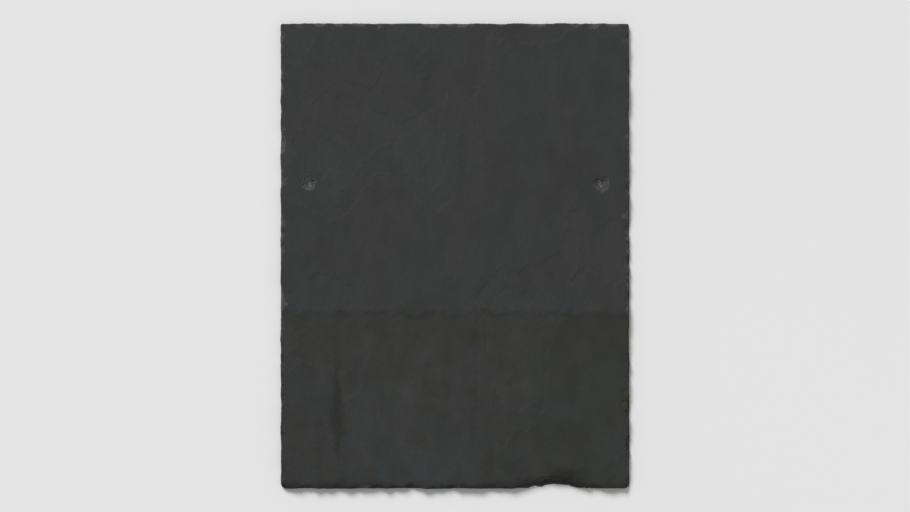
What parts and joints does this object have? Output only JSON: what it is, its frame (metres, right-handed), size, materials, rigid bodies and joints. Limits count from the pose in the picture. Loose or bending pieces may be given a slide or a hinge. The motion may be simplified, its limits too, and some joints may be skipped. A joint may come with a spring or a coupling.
{
  "type": "slate roof tile",
  "caption": "Natural roofing slate for a double-lap roof: thin, rectangular, with flaked dressed edges, nail holes with craters on the face and a small spall in its tail.",
  "frame": {"origin": "under the middle of the slate, on the plane that its back lies on", "axes": "+X across the slate, +Y from its tail to its head, up the roof slope, +Z out of its weathered face"},
  "size_m": [0.3, 0.4, 0.0065],
  "materials": {
    "slate_stone": "riven, weathered, matt dark grey with faint green and brown"
  },
  "bodies": {
    "root": {"slate": "slate_stone"}
  },
  "joints": []
}
